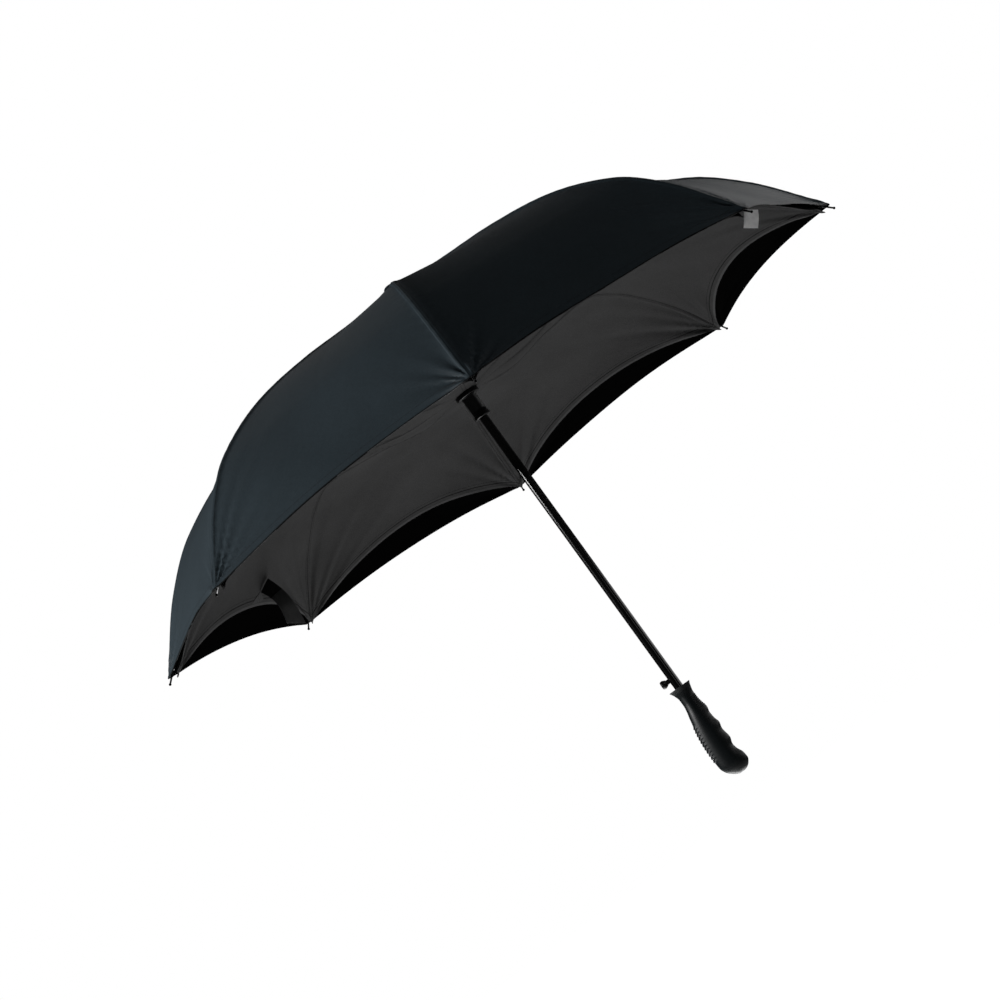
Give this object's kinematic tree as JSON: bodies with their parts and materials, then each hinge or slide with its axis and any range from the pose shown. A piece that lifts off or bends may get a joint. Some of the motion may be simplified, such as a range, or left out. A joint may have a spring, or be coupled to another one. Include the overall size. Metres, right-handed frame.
{
  "type": "inverted umbrella",
  "caption": "Open inverted umbrella with two canopies on jointed ribs, a spring-driven runner, a slim shaft and a moulded grip with a push button.",
  "frame": {"origin": "middle of the hand grip, on the shaft's axis", "axes": "+Z along the shaft from the grip to the canopy's peak; +X towards rib 1, the side of the grip that the fingers hold; the push button is on -X"},
  "size_m": [1.06, 1.06, 0.7745],
  "materials": {
    "outer_cloth": "satin",
    "inner_cloth": "matte",
    "webbing": "matte",
    "label_cloth": "matte",
    "lacquered_steel": "gloss",
    "bright_steel": "satin",
    "rib_steel": "satin",
    "glass_fibre": "satin",
    "black_plastic": "satin",
    "grip_rubber": "matte"
  },
  "bodies": {
    "root": {"shaft_tube": "lacquered_steel", "top_notch": "black_plastic", "top_cap": "black_plastic", "spring_seat": "black_plastic", "main_spring": "bright_steel", "handle_grip": "grip_rubber", "handle_core": "black_plastic", "button_spring": "bright_steel"},
    "runner": {"runner_sleeve": "black_plastic", "runner_crown": "black_plastic", "spring_follower": "bright_steel"},
    "button": {"push_button": "black_plastic"},
    "rib_inner_1": {"inner_rib_1": "rib_steel", "inner_gore_1": "inner_cloth"},
    "rib_outer_1": {"outer_rib_1": "glass_fibre", "outer_gore_1": "outer_cloth"},
    "stay_1": {"stretcher_1": "rib_steel"},
    "rib_inner_2": {"inner_rib_2": "rib_steel", "inner_gore_2": "inner_cloth"},
    "rib_outer_2": {"outer_rib_2": "glass_fibre", "outer_gore_2": "outer_cloth"},
    "stay_2": {"stretcher_2": "rib_steel"},
    "rib_inner_3": {"inner_rib_3": "rib_steel", "inner_gore_3": "inner_cloth"},
    "rib_outer_3": {"outer_rib_3": "glass_fibre", "outer_gore_3": "outer_cloth"},
    "stay_3": {"stretcher_3": "rib_steel"},
    "rib_inner_4": {"inner_rib_4": "rib_steel", "inner_gore_4": "inner_cloth"},
    "rib_outer_4": {"outer_rib_4": "glass_fibre", "outer_gore_4": "outer_cloth", "strap": "webbing"},
    "stay_4": {"stretcher_4": "rib_steel"},
    "rib_inner_5": {"inner_rib_5": "rib_steel", "inner_gore_5": "inner_cloth"},
    "rib_outer_5": {"outer_rib_5": "glass_fibre", "outer_gore_5": "outer_cloth"},
    "stay_5": {"stretcher_5": "rib_steel"},
    "rib_inner_6": {"inner_rib_6": "rib_steel", "inner_gore_6": "inner_cloth"},
    "rib_outer_6": {"outer_rib_6": "glass_fibre", "outer_gore_6": "outer_cloth"},
    "stay_6": {"stretcher_6": "rib_steel"},
    "rib_inner_7": {"inner_rib_7": "rib_steel", "inner_gore_7": "inner_cloth"},
    "rib_outer_7": {"outer_rib_7": "glass_fibre", "outer_gore_7": "outer_cloth"},
    "stay_7": {"stretcher_7": "rib_steel"},
    "rib_inner_8": {"inner_rib_8": "rib_steel", "inner_gore_8": "inner_cloth"},
    "rib_outer_8": {"outer_rib_8": "glass_fibre", "outer_gore_8": "outer_cloth", "label": "label_cloth"},
    "stay_8": {"stretcher_8": "rib_steel"}
  },
  "joints": [
    {"name": "runner_slide", "type": "slide", "parent": "root", "child": "runner", "axis": [0, 0, 1], "range_m": [-0.3778, 0], "stiffness_N_per_m": 60, "springref_m": 0.25, "deforming": ["outer_gore_1", "outer_gore_2", "outer_gore_3", "outer_gore_4", "outer_gore_5", "outer_gore_6", "outer_gore_7", "outer_gore_8", "inner_gore_1", "inner_gore_2", "inner_gore_3", "inner_gore_4", "inner_gore_5", "inner_gore_6", "inner_gore_7", "inner_gore_8", "strap", "main_spring"]},
    {"name": "button_press", "type": "slide", "parent": "root", "child": "button", "axis": [1, 0, 0], "range_m": [0, 0.003], "stiffness_N_per_m": 400, "springref_m": -0.004, "deforming": ["button_spring"]},
    {"name": "rib_hinge_1", "type": "hinge", "parent": "runner", "child": "rib_inner_1", "pos_m": [0.014, 0, 0.5455], "axis": [0, -1, 0], "range_deg": [0, 55.62]},
    {"name": "rib_flex_1", "type": "hinge", "parent": "rib_inner_1", "child": "rib_outer_1", "pos_m": [0.274, 0, 0.6395], "axis": [0, -1, 0], "range_deg": [0, 48.05]},
    {"name": "stretcher_hinge_1", "type": "hinge", "parent": "root", "child": "stay_1", "pos_m": [0.012, 0, 0.693], "axis": [0, -1, 0], "range_deg": [-63.01, 0]},
    {"name": "rib_hinge_2", "type": "hinge", "parent": "runner", "child": "rib_inner_2", "pos_m": [0.0099, 0.0099, 0.5455], "axis": [0.7071, -0.7071, 0], "range_deg": [0, 55.62]},
    {"name": "rib_flex_2", "type": "hinge", "parent": "rib_inner_2", "child": "rib_outer_2", "pos_m": [0.19375, 0.19375, 0.6395], "axis": [0.7071, -0.7071, 0], "range_deg": [0, 48.05]},
    {"name": "stretcher_hinge_2", "type": "hinge", "parent": "root", "child": "stay_2", "pos_m": [0.00848, 0.00848, 0.693], "axis": [0.7071, -0.7071, 0], "range_deg": [-63.01, 0]},
    {"name": "rib_hinge_3", "type": "hinge", "parent": "runner", "child": "rib_inner_3", "pos_m": [0, 0.014, 0.5455], "axis": [1, 0, 0], "range_deg": [0, 55.62]},
    {"name": "rib_flex_3", "type": "hinge", "parent": "rib_inner_3", "child": "rib_outer_3", "pos_m": [0, 0.274, 0.6395], "axis": [1, 0, 0], "range_deg": [0, 48.05]},
    {"name": "stretcher_hinge_3", "type": "hinge", "parent": "root", "child": "stay_3", "pos_m": [0, 0.012, 0.693], "axis": [1, 0, 0], "range_deg": [-63.01, 0]},
    {"name": "rib_hinge_4", "type": "hinge", "parent": "runner", "child": "rib_inner_4", "pos_m": [-0.0099, 0.0099, 0.5455], "axis": [0.7071, 0.7071, 0], "range_deg": [0, 55.62]},
    {"name": "rib_flex_4", "type": "hinge", "parent": "rib_inner_4", "child": "rib_outer_4", "pos_m": [-0.19375, 0.19375, 0.6395], "axis": [0.7071, 0.7071, 0], "range_deg": [0, 48.05]},
    {"name": "stretcher_hinge_4", "type": "hinge", "parent": "root", "child": "stay_4", "pos_m": [-0.00848, 0.00848, 0.693], "axis": [0.7071, 0.7071, 0], "range_deg": [-63.01, 0]},
    {"name": "rib_hinge_5", "type": "hinge", "parent": "runner", "child": "rib_inner_5", "pos_m": [-0.014, 0, 0.5455], "axis": [0, 1, 0], "range_deg": [0, 55.62]},
    {"name": "rib_flex_5", "type": "hinge", "parent": "rib_inner_5", "child": "rib_outer_5", "pos_m": [-0.274, 0, 0.6395], "axis": [0, 1, 0], "range_deg": [0, 48.05]},
    {"name": "stretcher_hinge_5", "type": "hinge", "parent": "root", "child": "stay_5", "pos_m": [-0.012, 0, 0.693], "axis": [0, 1, 0], "range_deg": [-63.01, 0]},
    {"name": "rib_hinge_6", "type": "hinge", "parent": "runner", "child": "rib_inner_6", "pos_m": [-0.0099, -0.0099, 0.5455], "axis": [-0.7071, 0.7071, 0], "range_deg": [0, 55.62]},
    {"name": "rib_flex_6", "type": "hinge", "parent": "rib_inner_6", "child": "rib_outer_6", "pos_m": [-0.19375, -0.19375, 0.6395], "axis": [-0.7071, 0.7071, 0], "range_deg": [0, 48.05]},
    {"name": "stretcher_hinge_6", "type": "hinge", "parent": "root", "child": "stay_6", "pos_m": [-0.00848, -0.00848, 0.693], "axis": [-0.7071, 0.7071, 0], "range_deg": [-63.01, 0]},
    {"name": "rib_hinge_7", "type": "hinge", "parent": "runner", "child": "rib_inner_7", "pos_m": [0, -0.014, 0.5455], "axis": [-1, 0, 0], "range_deg": [0, 55.62]},
    {"name": "rib_flex_7", "type": "hinge", "parent": "rib_inner_7", "child": "rib_outer_7", "pos_m": [0, -0.274, 0.6395], "axis": [-1, 0, 0], "range_deg": [0, 48.05]},
    {"name": "stretcher_hinge_7", "type": "hinge", "parent": "root", "child": "stay_7", "pos_m": [0, -0.012, 0.693], "axis": [-1, 0, 0], "range_deg": [-63.01, 0]},
    {"name": "rib_hinge_8", "type": "hinge", "parent": "runner", "child": "rib_inner_8", "pos_m": [0.0099, -0.0099, 0.5455], "axis": [-0.7071, -0.7071, 0], "range_deg": [0, 55.62]},
    {"name": "rib_flex_8", "type": "hinge", "parent": "rib_inner_8", "child": "rib_outer_8", "pos_m": [0.19375, -0.19375, 0.6395], "axis": [-0.7071, -0.7071, 0], "range_deg": [0, 48.05]},
    {"name": "stretcher_hinge_8", "type": "hinge", "parent": "root", "child": "stay_8", "pos_m": [0.00848, -0.00848, 0.693], "axis": [-0.7071, -0.7071, 0], "range_deg": [-63.01, 0]}
  ],
  "couplings": [
    {"joint": "rib_hinge_1", "follows": "runner_slide", "rad_per_m": -2.5673},
    {"joint": "rib_flex_1", "follows": "runner_slide", "rad_per_m": -2.2175},
    {"joint": "stretcher_hinge_1", "follows": "runner_slide", "rad_per_m": 2.9085},
    {"joint": "rib_hinge_2", "follows": "runner_slide", "rad_per_m": -2.5673},
    {"joint": "rib_flex_2", "follows": "runner_slide", "rad_per_m": -2.2175},
    {"joint": "stretcher_hinge_2", "follows": "runner_slide", "rad_per_m": 2.9085},
    {"joint": "rib_hinge_3", "follows": "runner_slide", "rad_per_m": -2.5673},
    {"joint": "rib_flex_3", "follows": "runner_slide", "rad_per_m": -2.2175},
    {"joint": "stretcher_hinge_3", "follows": "runner_slide", "rad_per_m": 2.9085},
    {"joint": "rib_hinge_4", "follows": "runner_slide", "rad_per_m": -2.5673},
    {"joint": "rib_flex_4", "follows": "runner_slide", "rad_per_m": -2.2175},
    {"joint": "stretcher_hinge_4", "follows": "runner_slide", "rad_per_m": 2.9085},
    {"joint": "rib_hinge_5", "follows": "runner_slide", "rad_per_m": -2.5673},
    {"joint": "rib_flex_5", "follows": "runner_slide", "rad_per_m": -2.2175},
    {"joint": "stretcher_hinge_5", "follows": "runner_slide", "rad_per_m": 2.9085},
    {"joint": "rib_hinge_6", "follows": "runner_slide", "rad_per_m": -2.5673},
    {"joint": "rib_flex_6", "follows": "runner_slide", "rad_per_m": -2.2175},
    {"joint": "stretcher_hinge_6", "follows": "runner_slide", "rad_per_m": 2.9085},
    {"joint": "rib_hinge_7", "follows": "runner_slide", "rad_per_m": -2.5673},
    {"joint": "rib_flex_7", "follows": "runner_slide", "rad_per_m": -2.2175},
    {"joint": "stretcher_hinge_7", "follows": "runner_slide", "rad_per_m": 2.9085},
    {"joint": "rib_hinge_8", "follows": "runner_slide", "rad_per_m": -2.5673},
    {"joint": "rib_flex_8", "follows": "runner_slide", "rad_per_m": -2.2175},
    {"joint": "stretcher_hinge_8", "follows": "runner_slide", "rad_per_m": 2.9085}
  ]
}
